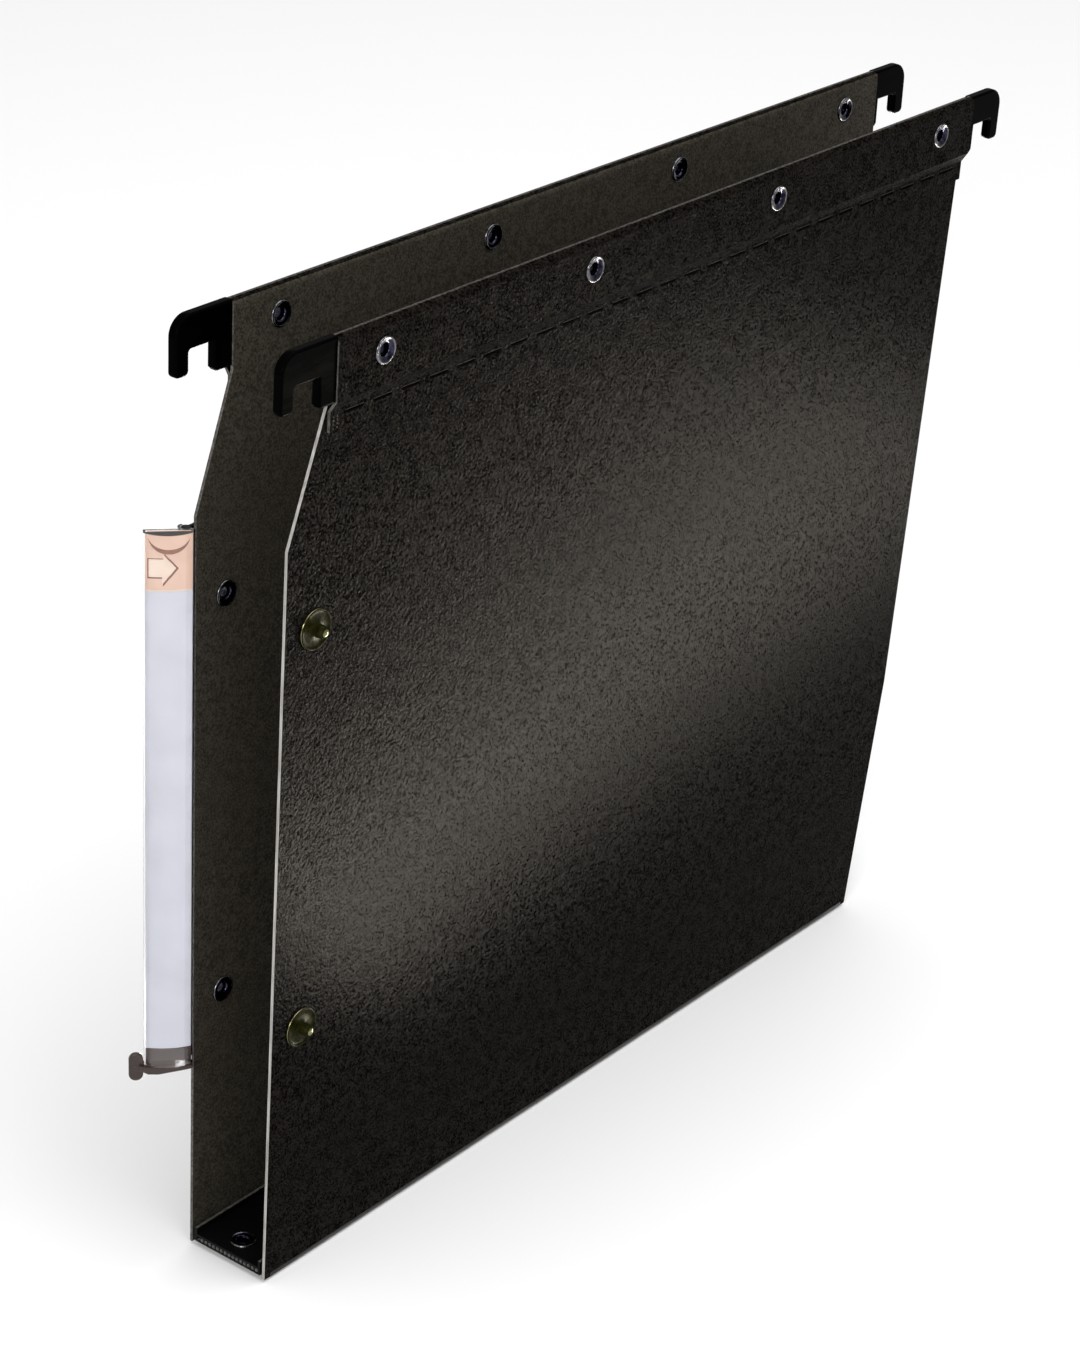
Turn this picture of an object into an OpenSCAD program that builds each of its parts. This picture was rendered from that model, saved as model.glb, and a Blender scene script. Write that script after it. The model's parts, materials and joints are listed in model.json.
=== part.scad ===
// Suspension file for a lateral cabinet: two hinged sheet panels on a rigid base,
// each panel hung from a flat bar with a hook at either end, and a turning label holder.
// X runs along the bars, the front panel is at -Y, the rear panel at +Y, Z is up.
// The origin is the middle of the base's underside, under the middle of the rail spacing.

/* [File] */
// Height from the base's underside to the top of the hems
file_h = 295; // [240:1:360]
// Outside width of the base, across the two panels
base_w = 30; // [20:1:60]
// Thickness of the panel sheet
sheet_t = 1; // [0.8:0.1:1.3]
// Angle that each panel leans out from upright, in degrees
splay = 0.5; // [0:0.1:2]

/* [Rails] */
// Centre distance of the two rails that the hooks sit on
rail_spacing = 330; // [300:1:400]
// Width of the slot that drops over a rail
rail_slot_w = 10; // [8:0.5:12]
// Depth of the slot, from its seat to the finger's tip
rail_slot_h = 7.2; // [6:0.2:10]
// Height of hook above the seat
seat_drop = 10; // [9:0.5:14]
// Width of the hook's outer finger
finger_w = 5.2; // [4:0.2:8]
// Width of the hook's leg that shows at the label end
left_leg_w = 6.5; // [4:0.5:10]
// Width of the hook's leg that shows at the far end
right_leg_w = 2.6; // [2:0.2:8]
// Thickness of the hook outside the hem
hook_t = 3.2; // [2.6:0.1:4]

/* [Panel outline] */
// Distance that the label edge stands out past the hem's end
shoulder_out = 14; // [8:0.5:20]
// Depth below the hem's top of the corner where the label edge starts
shoulder_drop = 58.5; // [40:0.5:80]
// Distance that the far edge is drawn in where it bends
bend_in = 8.4; // [4:0.2:12]
// Height of that bend
bend_h = 85; // [60:1:120]
// Distance that the far bottom corner is drawn in
foot_in = 18.4; // [14:0.2:30]

/* [Hem and bar] */
// Room inside the hem for the bar
hem_gap = 2.2; // [1.8:0.1:3]
// Height of the flat bar
bar_h = 15.8; // [14:0.2:20]
// Length of the flap below the hem's top
flap_h = 28; // [24:1:40]
// Depth of the weld line below the hem's top
weld_drop = 22; // [20:0.5:23.5]
// Distance from a hem's end to its first eyelet
eyelet_end = 18.7; // [14:0.1:24]
// Depth of the eyelets below the hem's top
eyelet_drop = 8.7; // [7:0.1:10]
// Eyelets in each hem
eyelet_count = 4; // [2:1:6]
// Length of the hook's tang inside the hem
tang_l = 27; // [25:0.5:40]
// Distance from a hem's end to the half lap of tang and bar
lap_start = 10; // [8:0.5:13]

/* [Eyelets and studs] */
// Diameter of an eyelet's rolled rim
eyelet_d = 8; // [7:0.1:9]
// Outer diameter of an eyelet's barrel
barrel_d = 4.4; // [4:0.1:5]
// Diameter of the hole through an eyelet
eyelet_bore_d = 3.5; // [3:0.1:3.8]
// Diameter of a press stud and of its socket
stud_d = 12.4; // [11:0.1:14]
// Diameter of the press stud's post
post_d = 3.9; // [3.5:0.1:4.4]
// Distance from the label edge to the press studs
stud_inset = 12; // [10:0.5:16]
// Height of the lower press stud above the label holder's lower end
stud_rise = 17; // [10:1:30]
// Distance between the two press studs
stud_pitch = 127; // [100:1:140]
// Height of the socket's cap
socket_h = 3; // [2.8:0.1:4]

/* [Base] */
// Thickness of the fluted insert
insert_t = 2.6; // [2.2:0.1:4]
// Height of the insert's side lips above the base's underside
lip_h = 5.7; // [5:0.1:8]
// Least spacing of the insert's flutes
flute_space = 1.5; // [1.4:0.1:2.5]
// Diameter of each flute
flute_d = 1.2; // [0.8:0.1:1.3]
// Distance from the base's ends to its eyelets
base_eyelet_end = 7; // [6:0.5:15]

/* [Label holder] */
// Length of the label holder
holder_h = 168; // [120:1:170]
// Distance from the corner of the label edge down to the holder
holder_drop = 2.5; // [1:0.5:20]
// Width of the lens, along its flat back
lens_w = 14; // [11:0.1:16]
// Depth of the lens, from its flat back to its crest
lens_d = 4.9; // [4.2:0.1:6]
// Angle between the label holder and the panel
label_angle = 42; // [10:1:80]
// Height of the pull tab
tab_h = 17.5; // [10:0.5:30]
// Thickness of the label and of the pull tab
label_t = 0.4; // [0.3:0.05:0.4]
// Length of the end stop's plug inside the lens
plug_h = 5; // [4:0.5:10]

/* [Hidden] */

// Clearances
bar_gap = 0.05;       // bar and tang inside the hem, on each side
rivet_gap = 0.05;     // round a barrel or shank in its hole
crease_gap = 0.3;     // between the base sheet and a panel, at the crease
lip_gap = 0.9;        // between the insert's lip and a panel
bead_gap = 0.06;      // between the hinge bead and the lens
slide_gap = 0.3;      // round the label inside the lens
end_gap = 0.2;        // at the butt end of the bar and the tang
bar_head_gap = 0.3;   // above the bar, under the hem's bend
bar_foot_gap = 0.4;   // below the bar, where the hem starts to close
insert_gap = 0.02;    // between the insert and the base sheet
clip_gap = 0.3;       // between the lens's clip and the panel's edge
plug_gap = 0.05;      // between the end stop's plug and the lens, on each side
cut_l = 20;           // length of a cut that goes right through

// Each panel stands on its own crease: x along the bar, -y outwards, z up the sheet
crease_y = base_w / 2 - sheet_t / 2;
crease_z = sheet_t / 2;
panel_top = file_h - crease_z;
outer_face = -sheet_t / 2;
inner_face = sheet_t / 2;

// Hem
hem_left = -(rail_spacing / 2 - rail_slot_w / 2 - left_leg_w);
hem_right = rail_spacing / 2 - rail_slot_w / 2 - right_leg_w;
hem_len = hem_right - hem_left;
hem_y = outer_face - hem_gap / 2;
hem_r = hem_gap / 2 + sheet_t;
hem_face = hem_y - hem_r;
bend_z = panel_top - hem_r;
bar_top = bend_z - bar_head_gap;
bar_bottom = bar_top - bar_h;
pinch_top = bar_bottom - bar_foot_gap;
weld_z = panel_top - weld_drop;
flap_z = panel_top - flap_h;
eyelet_z = panel_top - eyelet_drop;
eyelet_pitch = (hem_len - 2 * eyelet_end) / (eyelet_count - 1);
eyelet_xs = [for (i = [0:eyelet_count - 1]) hem_left + eyelet_end + i * eyelet_pitch];
bar_t = hem_gap - 2 * bar_gap;
rivet_hole_d = barrel_d + 2 * rivet_gap;
cheek_drop = 20;
cheek_h = panel_top - cheek_drop;

// Outline of a panel
label_edge_x = shoulder_out - hem_left;
shoulder_z = panel_top - shoulder_drop;
bend_x = hem_right - bend_in;
foot_x = hem_right - foot_in;

// Hook
seat_z = panel_top - seat_drop;
finger_z = seat_z - rail_slot_h;
leg_drop = 19;
leg_chamfer = 1;
leg_z = panel_top - leg_drop;
tang_overlap = 0.5;
hook_corner_r = 6;
tip_r = 1.6;
seat_r = 1;

// Press studs and sockets
stud_x = -label_edge_x + stud_inset;
stud_low_z = shoulder_z - holder_drop - holder_h + stud_rise;
stud_zs = [stud_low_z, stud_low_z + stud_pitch];
shank_d = 2.6;
neck_in = 0.3;
post_z = 1.3;
post_band_h = 1.2;
spring_rise = 1.75;
socket_mouth_d = post_d + 0.7;

// Eyelet rims
rim_h = 0.6;

// Base
base_left = -label_edge_x;
base_right = foot_x;
insert_z = sheet_t + insert_gap;
insert_top = insert_z + insert_t;
insert_w = base_w - 2 * sheet_t - 2 * lip_gap;
lip_t = 0.9;
flute_margin = 1.2;
flute_count = floor((insert_w - flute_margin) / flute_space);
flute_pitch = (insert_w - flute_margin) / flute_count;
sheet_setback = 2.5;
base_eyelet_xs = [base_left + base_eyelet_end, base_right - base_eyelet_end];

// Label holder: its hinge bead stands just off the rear panel's label edge
carrier_t = 1;
carrier_w = 20;
carrier_inset = 0.6;
web_t = 0.8;
bead_r = 1.4;
clip_r = 2.3;
clip_open_from = 62;
clip_open_to = 208;
clip_cut_r = 4;
bead_x = -label_edge_x - clip_r - clip_gap;
bead_y = outer_face - carrier_t / 2;
lens_start = -clip_r;
lens_wall = 0.7;
clip_wall = 0.5;
lens_edge = 2.3;
slot_w = lens_w - 2 * lens_wall;
slot_t = label_t + 2 * slide_gap;
label_w = slot_w - 2 * slide_gap;
lens_back = lens_wall - bead_r - bead_gap - clip_wall;
slot_back = lens_back - lens_wall;
slot_mid = slot_back - slot_t / 2;
lens_top = shoulder_z - holder_drop;
lens_z = lens_top - holder_h;
strip_z = lens_z + plug_h + slide_gap;
tab_z = lens_top - tab_h;

// Puts a panel's own frame in the file: the front as it is, the rear mirrored
module on_front() { translate([0, -crease_y, crease_z]) rotate([splay, 0, 0]) children(); }
module on_rear() { mirror([0, 1, 0]) on_front() children(); }

// Extrudes a section drawn in Y and Z along X
module along_x(x0, length) { translate([x0, 0, 0]) rotate([90, 0, 90]) linear_extrude(length) children(); }

// Extrudes an outline drawn in X and Z through the thickness, from y0 outwards
module through_y(y0, thickness) {
    translate([0, y0, 0]) rotate([90, 0, 0]) linear_extrude(thickness) children();
}

// Round hole along Y through a panel
module hole_y(x, z, d) {
    translate([x, 0, z]) rotate([90, 0, 0]) cylinder(d = d, h = cut_l, center = true, $fn = 48);
}

// Outline of a panel, from its crease to the bend of its hem
module panel_outline() {
    polygon([[-label_edge_x, 0], [-label_edge_x, shoulder_z], [hem_left, cheek_h], [hem_left, bend_z],
             [hem_right, bend_z], [hem_right, cheek_h], [bend_x, bend_h], [foot_x, 0]]);
}

// Section of the hem: a round bend over the bar, then a flap down to the weld
module hem_section() {
    translate([hem_y, bend_z]) difference() {
        circle(r = hem_r, $fn = 64);
        circle(r = hem_gap / 2, $fn = 64);
        translate([-hem_r - 1, -hem_r - 1]) square([2 * hem_r + 2, hem_r + 1]);
    }
    translate([hem_face, pinch_top]) square([sheet_t, bend_z - pinch_top]);
    polygon([[hem_face, pinch_top], [hem_face + sheet_t, pinch_top], [outer_face, weld_z],
             [outer_face - sheet_t, weld_z]]);
    translate([outer_face - sheet_t, flap_z]) square([sheet_t, weld_z - flap_z]);
}

// One panel with its hem; the foot of the sheet is rounded about the crease
module panel() {
    difference() {
        union() {
            through_y(inner_face, sheet_t) panel_outline();
            translate([-label_edge_x, 0, 0]) rotate([0, 90, 0])
                cylinder(d = sheet_t, h = label_edge_x + foot_x, $fn = 32);
            along_x(hem_left, hem_len) hem_section();
        }
        for (x = eyelet_xs) hole_y(x, eyelet_z, rivet_hole_d);
        for (z = stud_zs) hole_y(stud_x, z, rivet_hole_d);
    }
}

// Flat bar, halved at both ends to lap the hooks' tangs
module bar() {
    difference() {
        translate([hem_left + lap_start + end_gap, hem_y - bar_t / 2, bar_bottom])
            cube([hem_len - 2 * (lap_start + end_gap), bar_t, bar_h]);
        translate([hem_left, hem_y - bar_t, bar_bottom - 1]) cube([tang_l + end_gap, bar_t, bar_h + 2]);
        translate([hem_right - tang_l - end_gap, hem_y - bar_t, bar_bottom - 1])
            cube([tang_l + end_gap, bar_t, bar_h + 2]);
        for (x = eyelet_xs) hole_y(x, eyelet_z, rivet_hole_d);
    }
}

// Outline of a hook that reaches towards -x from the hem's end at x = 0
module hook_outline(leg_w) {
    slot_x = -leg_w - rail_slot_w;
    finger_x = slot_x - finger_w;
    difference() {
        union() {
            translate([finger_x + hook_corner_r, finger_z + tip_r])
                square([-finger_x - hook_corner_r, panel_top - finger_z - tip_r]);
            translate([finger_x, finger_z + tip_r])
                square([hook_corner_r, panel_top - hook_corner_r - finger_z - tip_r]);
            translate([finger_x + hook_corner_r, panel_top - hook_corner_r])
                circle(r = hook_corner_r, $fn = 64);
            for (x = [finger_x + tip_r, finger_x + finger_w - tip_r])
                translate([x, finger_z + tip_r]) circle(r = tip_r, $fn = 32);
            translate([finger_x + tip_r, finger_z]) square([finger_w - 2 * tip_r, 2 * tip_r]);
            translate([-leg_w, leg_z + leg_chamfer]) square([leg_w, seat_z - leg_z]);
            polygon([[-leg_w, leg_z + leg_chamfer], [-leg_w + leg_chamfer, leg_z], [0, leg_z],
                     [0, leg_z + leg_chamfer]]);
        }
        translate([slot_x + seat_r, leg_z - 1]) square([rail_slot_w - seat_r, seat_z - leg_z + 1]);
        translate([slot_x, leg_z - 1]) square([rail_slot_w, seat_z - seat_r - leg_z + 1]);
        translate([slot_x + seat_r, seat_z - seat_r]) circle(r = seat_r, $fn = 32);
    }
}

// Hook with its tang, drawn for the left end; the head is thicker than the tang
module hook(leg_w) {
    through_y(hem_y + hook_t / 2, hook_t) hook_outline(leg_w);
    difference() {
        translate([-tang_overlap, hem_y - bar_t / 2, bar_bottom]) cube([tang_l + tang_overlap, bar_t, bar_h]);
        translate([lap_start, hem_y, bar_bottom - 1]) cube([tang_l, bar_t, bar_h + 2]);
        hole_y(eyelet_end, eyelet_z, rivet_hole_d);
    }
}
module left_hook() { translate([hem_left, 0, 0]) hook(left_leg_w); }
module right_hook() { translate([hem_right, 0, 0]) mirror([1, 0, 0]) hook(right_leg_w); }

// Half section of a rolled rim that sits at height z on what it clamps
function rim(z, s) = [[eyelet_bore_d / 2, z - 0.3 * s], [eyelet_bore_d / 2 + 0.35, z + 0.35 * s],
    [eyelet_bore_d / 2 + 0.8, z + rim_h * s], [eyelet_d / 2 - 0.7, z + (rim_h - 0.05) * s],
    [eyelet_d / 2 - 0.15, z + 0.35 * s], [eyelet_d / 2, z + 0.1 * s], [eyelet_d / 2, z], [barrel_d / 2, z]];
function reversed(list) = [for (i = [len(list) - 1:-1:0]) list[i]];

// Eyelet along Z with a rolled rim at either end, which clamps from z0 to z1
module eyelet(z0, z1) {
    rotate_extrude($fn = 64) polygon(concat(rim(z1, 1), reversed(rim(z0, -1))));
}

// Eyelets through a hem; the outer and the inner rims are alike
module hem_eyelets() {
    for (x = eyelet_xs)
        translate([x, 0, eyelet_z]) rotate([90, 0, 0]) eyelet(-inner_face, -hem_face);
}

// Press stud: a shallow dish with a rolled edge and a post with a round end, hollow for its rivet
module press_stud() {
    r = stud_d / 2;
    post_r = post_d / 2;
    difference() {
        union() {
            rotate_extrude($fn = 64)
                polygon([[0, 0], [r - 0.2, 0], [r, 0.25], [r - 0.1, 0.6], [r - 0.45, 0.8], [r - 0.8, 0.6],
                         [r - 1.3, 0.4], [post_r + 1, 0.5], [post_r - neck_in, 0.9], [0, 0.9]]);
            cylinder(r = post_r - neck_in, h = post_z + 0.1, $fn = 48);
            translate([0, 0, post_z]) cylinder(r = post_r, h = post_band_h, $fn = 48);
            translate([0, 0, post_z + post_band_h]) intersection() {
                sphere(r = post_r, $fn = 48);
                cylinder(r = post_r, h = post_r, $fn = 48);
            }
        }
        translate([0, 0, -1]) cylinder(d = shank_d + 2 * rivet_gap, h = 3, $fn = 48);
    }
}
module at_studs(y) { for (z = stud_zs) translate([stud_x, y, z]) rotate([90, 0, 0]) children(); }

// Rivet that holds a press stud: a low rim on the inner face and a shank in the post
module stud_rivet() {
    rotate_extrude($fn = 48) polygon([[0, -rim_h * 0.5], [1.4, -rim_h * 0.5], [2.2, -rim_h],
        [eyelet_d / 2 - 0.6, -rim_h], [eyelet_d / 2, -0.2], [eyelet_d / 2, 0], [shank_d / 2, 0],
        [shank_d / 2, sheet_t + 1.8], [0, sheet_t + 1.8]]);
}

// Socket: a round cap whose mouth takes a press stud of the next file
module press_socket() {
    r = stud_d / 2;
    difference() {
        rotate_extrude($fn = 64) polygon([[0, 0], [r, 0], [r, 0.5], [r - 0.5, 0.9], [r - 1, socket_h - 0.5],
            [r - 1.6, socket_h], [0, socket_h]]);
        translate([0, 0, 0.5]) cylinder(r = r - 1.8, h = socket_h - 1.1, $fn = 48);
        translate([0, 0, -1]) cylinder(d = rivet_hole_d, h = 2, $fn = 48);
        translate([0, 0, 1]) cylinder(d = socket_mouth_d, h = socket_h, $fn = 48);
    }
}

// Spring wire in a socket: two arms that grip the post's neck, joined at their ends
module socket_spring() {
    wire_t = 0.6;
    grip_w = post_d - 2 * neck_in;
    arm_l = 6.6;
    translate([0, 0, -wire_t / 2]) linear_extrude(wire_t) difference() {
        square([arm_l, grip_w + 2 * wire_t], center = true);
        square([arm_l - 2 * wire_t, grip_w], center = true);
    }
}

// Socket's eyelet: a rolled rim on the inner face, its barrel clinched flat inside the cap
module socket_eyelet() {
    grip = sheet_t + carrier_t + 0.5;
    rotate_extrude($fn = 64) polygon(concat(reversed(rim(0, -1)),
        [[eyelet_bore_d / 2, grip + 0.4], [barrel_d / 2 + 0.9, grip + 0.4], [barrel_d / 2 + 0.9, grip],
         [barrel_d / 2, grip]]));
}

// Label carrier: a flange that the sockets clamp to the rear panel, and a hinge bead off its edge
module carrier() {
    flange_y = outer_face - carrier_t;
    difference() {
        union() {
            translate([-label_edge_x + carrier_inset, flange_y, lens_z])
                cube([carrier_w - carrier_inset, carrier_t, holder_h]);
            translate([bead_x, bead_y - web_t / 2, lens_z])
                cube([-label_edge_x + 1 - bead_x, web_t, holder_h]);
            translate([bead_x, bead_y, lens_z]) cylinder(r = bead_r, h = holder_h, $fn = 48);
        }
        for (z = stud_zs) hole_y(stud_x, z, rivet_hole_d);
    }
}

// Label holder's frame: u from the bead along the lens, its crest towards -v
module on_holder() { translate([bead_x, bead_y, 0]) rotate([0, 0, 180 + label_angle]) children(); }

// Lens: a clip round the bead, and in front of it a box with a slot for the label and a crowned face
module lens_section() {
    clear_r = bead_r + bead_gap;
    crest_d = lens_d - lens_edge;
    arc_r = (pow(lens_w / 2, 2) + pow(crest_d, 2)) / (2 * crest_d);
    difference() {
        union() {
            circle(r = clip_r, $fn = 64);
            intersection() {
                translate([lens_start, lens_back - lens_d]) square([lens_w, lens_d]);
                translate([lens_start + lens_w / 2, lens_back - lens_d + arc_r]) circle(r = arc_r, $fn = 128);
            }
        }
        circle(r = clear_r, $fn = 48);
        polygon([[0, 0], for (i = [0:4]) let (a = clip_open_from + (clip_open_to - clip_open_from) * i / 4)
            clip_cut_r * [cos(a), sin(a)]]);
        translate([lens_start + lens_wall, slot_back - slot_t]) square([slot_w, slot_t]);
    }
}

// Label and pull tab: flat pieces that slide in the lens
module slip(z, h) {
    translate([lens_start + lens_w / 2 - label_w / 2, slot_mid - label_t / 2, z]) cube([label_w, label_t, h]);
}

// End stop: a plug in the lens, a swept plate under it and a thumb paddle beyond it
module end_stop() {
    plate_t = 1.5;
    plug_w = slot_w - 2 * plug_gap;
    plug_t = slot_t - 2 * plug_gap;
    paddle_w = 4.2;
    paddle_h = 9;
    paddle_u = lens_start + lens_w + 0.3;
    translate([lens_start + lens_w / 2 - plug_w / 2, slot_mid - plug_t / 2, lens_z - 0.5])
        cube([plug_w, plug_t, plug_h + 0.5]);
    translate([lens_start, lens_back, 0]) rotate([90, 0, 0]) linear_extrude(lens_d - 0.6)
        polygon([[0, lens_z - 0.02], [lens_w, lens_z - 0.02], [lens_w + 1.5, lens_z + 0.6],
                 [lens_w + 1.5, lens_z - plate_t + 0.5], [lens_w - 1, lens_z - plate_t - 0.9],
                 [lens_w - 4, lens_z - plate_t - 1.1], [3, lens_z - plate_t], [0, lens_z - plate_t + 0.6]]);
    translate([paddle_u + paddle_w / 2, lens_back - lens_d / 2, lens_z - 0.4]) rotate([90, 0, 0]) {
        for (z = [-1, 1]) translate([0, z * (paddle_h - paddle_w) / 2, 0])
            cylinder(d = paddle_w, h = plate_t, center = true, $fn = 48);
        cube([paddle_w, paddle_h - paddle_w, plate_t], center = true);
    }
}

module rear_panel() { color([0.16, 0.15, 0.14]) on_rear() panel(); }
module rear_bar() { color([0.6, 0.61, 0.62]) on_rear() bar(); }
module rear_left_hook() { color([0.03, 0.03, 0.03]) on_rear() left_hook(); }
module rear_right_hook() { color([0.03, 0.03, 0.03]) on_rear() right_hook(); }
module rear_hem_eyelets() { color([0.75, 0.76, 0.78]) on_rear() hem_eyelets(); }
module press_sockets() { color([0.55, 0.5, 0.3]) on_rear() at_studs(outer_face - carrier_t) press_socket(); }
module socket_springs() {
    color([0.7, 0.6, 0.3]) on_rear() at_studs(outer_face - carrier_t - spring_rise) socket_spring();
}
module socket_eyelets() { color([0.75, 0.76, 0.78]) on_rear() at_studs(inner_face) socket_eyelet(); }
module label_carrier() { color([0.04, 0.04, 0.04]) on_rear() carrier(); }

// Holes for the base's eyelets
module base_eyelet_holes() {
    for (x = base_eyelet_xs)
        translate([x, 0, 0]) cylinder(d = rivet_hole_d, h = cut_l, center = true, $fn = 48);
}

// Middle of the folded sheet, between the two creases
module base_sheet() {
    half_w = crease_y - sheet_t / 2 - crease_gap;
    color([0.14, 0.13, 0.12]) difference() {
        translate([base_left + sheet_setback, -half_w, 0])
            cube([base_right - base_left - 2 * sheet_setback, 2 * half_w, sheet_t]);
        base_eyelet_holes();
    }
}

// Fluted insert that keeps the base flat, with a lip along each side
module base_insert() {
    half_w = insert_w / 2;
    color([0.02, 0.02, 0.02]) difference() {
        along_x(base_left, base_right - base_left) difference() {
            polygon([[-half_w, insert_z], [half_w, insert_z], [half_w, lip_h], [half_w - lip_t, lip_h],
                     [half_w - lip_t, insert_top], [lip_t - half_w, insert_top], [lip_t - half_w, lip_h],
                     [-half_w, lip_h]]);
            for (i = [0:flute_count - 1])
                translate([(i - (flute_count - 1) / 2) * flute_pitch, insert_z + insert_t / 2])
                    circle(d = flute_d, $fn = 16);
        }
        base_eyelet_holes();
    }
}
module base_eyelets() {
    color([0.75, 0.76, 0.78]) for (x = base_eyelet_xs) translate([x, 0, 0]) eyelet(0, insert_top);
}

module front_panel() { color([0.16, 0.15, 0.14]) on_front() panel(); }
module front_bar() { color([0.6, 0.61, 0.62]) on_front() bar(); }
module front_left_hook() { color([0.03, 0.03, 0.03]) on_front() left_hook(); }
module front_right_hook() { color([0.03, 0.03, 0.03]) on_front() right_hook(); }
module front_hem_eyelets() { color([0.75, 0.76, 0.78]) on_front() hem_eyelets(); }
module press_studs() { color([0.55, 0.5, 0.3]) on_front() at_studs(outer_face) press_stud(); }
module stud_rivets() { color([0.75, 0.76, 0.78]) on_front() at_studs(inner_face) stud_rivet(); }

module label_lens() {
    color([0.85, 0.88, 0.92, 0.5]) on_rear() on_holder()
        translate([0, 0, lens_z]) linear_extrude(holder_h) lens_section();
}
module label_end_stop() { color([0.3, 0.25, 0.23]) on_rear() on_holder() end_stop(); }
module label_strip() { color([0.88, 0.88, 0.93]) on_rear() on_holder() slip(strip_z, tab_z - strip_z); }
module label_pull_tab() { color([0.92, 0.72, 0.6]) on_rear() on_holder() slip(tab_z, tab_h); }

rear_panel();
rear_bar();
rear_left_hook();
rear_right_hook();
rear_hem_eyelets();
press_sockets();
socket_springs();
socket_eyelets();
label_carrier();
base_sheet();
base_insert();
base_eyelets();
front_panel();
front_bar();
front_left_hook();
front_right_hook();
front_hem_eyelets();
press_studs();
stud_rivets();
label_lens();
label_end_stop();
label_strip();
label_pull_tab();
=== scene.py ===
import json
import math
import bpy
import bmesh
from mathutils import Matrix, Vector


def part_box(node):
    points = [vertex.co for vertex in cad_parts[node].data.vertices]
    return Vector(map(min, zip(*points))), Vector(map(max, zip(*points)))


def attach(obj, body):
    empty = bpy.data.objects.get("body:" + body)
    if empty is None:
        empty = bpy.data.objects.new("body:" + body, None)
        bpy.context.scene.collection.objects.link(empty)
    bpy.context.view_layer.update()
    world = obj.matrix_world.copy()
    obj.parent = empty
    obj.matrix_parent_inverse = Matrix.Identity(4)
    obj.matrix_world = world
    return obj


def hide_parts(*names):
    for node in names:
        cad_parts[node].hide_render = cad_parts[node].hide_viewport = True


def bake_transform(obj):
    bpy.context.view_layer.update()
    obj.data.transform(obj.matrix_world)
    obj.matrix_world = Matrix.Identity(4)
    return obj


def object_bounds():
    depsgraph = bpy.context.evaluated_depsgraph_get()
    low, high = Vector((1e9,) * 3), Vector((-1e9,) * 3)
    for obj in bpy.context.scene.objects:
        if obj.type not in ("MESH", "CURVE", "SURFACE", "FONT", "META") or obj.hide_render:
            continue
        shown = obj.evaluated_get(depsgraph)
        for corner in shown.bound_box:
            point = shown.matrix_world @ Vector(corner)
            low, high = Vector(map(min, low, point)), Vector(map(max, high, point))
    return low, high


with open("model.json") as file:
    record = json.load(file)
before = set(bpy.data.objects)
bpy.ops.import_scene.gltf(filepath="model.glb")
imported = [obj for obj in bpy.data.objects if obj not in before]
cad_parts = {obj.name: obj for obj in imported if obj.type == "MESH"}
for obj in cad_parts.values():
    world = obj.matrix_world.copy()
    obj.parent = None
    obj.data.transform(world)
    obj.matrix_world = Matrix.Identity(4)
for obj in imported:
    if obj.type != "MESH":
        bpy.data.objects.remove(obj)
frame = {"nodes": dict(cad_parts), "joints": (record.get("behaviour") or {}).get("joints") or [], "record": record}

cad_box = [list(corner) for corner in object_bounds()]
scene = bpy.context.scene

# ---------------------------------------------------------------------------------------------
# Table, light and camera
# The file stands upright on a plain white table. One big soft lamp hangs overhead, a smaller one
# stands at the label end, and two strip lamps lie in front and behind for the sheets' soft sheen.
# ---------------------------------------------------------------------------------------------
table_half = 4.0
table_gap = 0.0002
table_z = cad_box[0][2] - table_gap
table_white = (0.86, 0.86, 0.86, 1.0)


def new_material(name, colour, roughness, **sockets):
    """A material with its plain numbers on the shader's own sockets."""
    mat = bpy.data.materials.new(name)
    mat.use_nodes = True
    shader = mat.node_tree.nodes["Principled BSDF"]
    shader.inputs["Base Color"].default_value = (*colour[:3], 1.0)
    shader.inputs["Roughness"].default_value = roughness
    for socket, value in sockets.items():
        shader.inputs[socket.replace("_", " ")].default_value = value
    return mat, mat.node_tree, shader


def new_piece(name, bm, *materials):
    """Turns a bmesh into an object at the origin and gives it its materials."""
    mesh = bpy.data.meshes.new(name)
    bm.to_mesh(mesh)
    bm.free()
    piece = bpy.data.objects.new(name, mesh)
    scene.collection.objects.link(piece)
    for mat in materials:
        mesh.materials.append(mat)
    return piece


table_paint, tree, shader = new_material("table_paint", table_white, 0.9)
shader.inputs["Specular IOR Level"].default_value = 0.0
speck = tree.nodes.new("ShaderNodeTexNoise")
speck.inputs["Scale"].default_value = 3.0
tint = tree.nodes.new("ShaderNodeMapRange")
tint.inputs["To Min"].default_value = 0.85
tint.inputs["To Max"].default_value = 0.87
tree.links.new(speck.outputs["Fac"], tint.inputs["Value"])
tree.links.new(tint.outputs["Result"], shader.inputs["Base Color"])

bm = bmesh.new()
around = ((-1, -1), (1, -1), (1, 1), (-1, 1))
bm.faces.new([bm.verts.new((x * table_half, y * table_half, table_z)) for x, y in around])
table = new_piece("table", bm, table_paint)

world = bpy.data.worlds.new("studio")
world.use_nodes = True
walls = world.node_tree.nodes["Background"]
walls.inputs["Color"].default_value = (1.0, 1.0, 1.0, 1.0)
walls.inputs["Strength"].default_value = 0.62
scene.world = world
scene.view_settings.view_transform = "Standard"


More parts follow.
